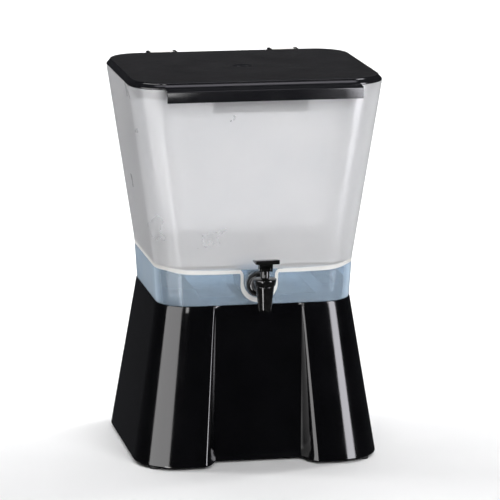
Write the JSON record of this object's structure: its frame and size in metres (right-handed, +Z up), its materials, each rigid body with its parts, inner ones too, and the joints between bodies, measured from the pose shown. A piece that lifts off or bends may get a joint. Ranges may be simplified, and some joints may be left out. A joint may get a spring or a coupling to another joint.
{
  "type": "gravity drink dispenser",
  "caption": "Counter-top drink dispenser: translucent tapered tank with hinged lid and pull, lever tap low on the front, on a flared black stand.",
  "frame": {"origin": "under the middle of the whole dispenser's width and depth, on the surface it stands on", "axes": "+Z up; the front, with the tap and the lid's pull, faces -Y; +X is to the right seen from the front"},
  "size_m": [0.355, 0.35, 0.54],
  "materials": {
    "tank_plastic": "translucent milky polypropylene",
    "stand_plastic": "high gloss black",
    "lid_plastic": "satin black with a fine grain",
    "tap_plastic": "gloss black",
    "foot_rubber": "matt black",
    "washer_rubber": "matt black",
    "silicone": "matt off-white",
    "stainless": "drawn wire"
  },
  "bodies": {
    "stand": {"stand": "stand_plastic", "foot_front_left": "foot_rubber", "foot_front_right": "foot_rubber", "foot_back_left": "foot_rubber", "foot_back_right": "foot_rubber"},
    "tank": {"tank": "tank_plastic", "tap_body": "tap_plastic", "tap_bonnet": "tap_plastic", "bonnet_gasket": "silicone", "stem_seal": "washer_rubber", "closing_spring": "stainless", "outer_washer": "washer_rubber", "inner_washer": "washer_rubber", "mounting_nut": "tap_plastic"},
    "lid": {"lid": "lid_plastic", "hinge_pin_left": "lid_plastic", "hinge_pin_right": "lid_plastic"},
    "stem": {"valve_stem": "tap_plastic", "seat_cup": "silicone"},
    "lever": {"tap_lever": "tap_plastic", "lever_pin": "stainless"}
  },
  "joints": [
    {"name": "tank_lift", "type": "slide", "parent": "stand", "child": "tank", "axis": [0, 0, 1], "range_m": [0, 0.12]},
    {"name": "lid_hinge", "type": "hinge", "parent": "tank", "child": "lid", "pos_m": [0, 0.1685, 0.5335], "axis": [-1, 0, 0], "range_deg": [0, 105]},
    {"name": "lever_tilt", "type": "hinge", "parent": "tank", "child": "lever", "pos_m": [0, -0.16, 0.2835], "axis": [1, 0, 0], "range_deg": [0, 35], "stiffness_Nm_per_rad": 0.03, "springref_deg": -20.05},
    {"name": "stem_lift", "type": "slide", "parent": "tank", "child": "stem", "axis": [0, 0, 1], "range_m": [0, 0.0033], "deforming": ["closing_spring"]}
  ],
  "couplings": [
    {"joint": "stem_lift", "follows": "lever_tilt", "m_per_rad": 0.005238}
  ]
}
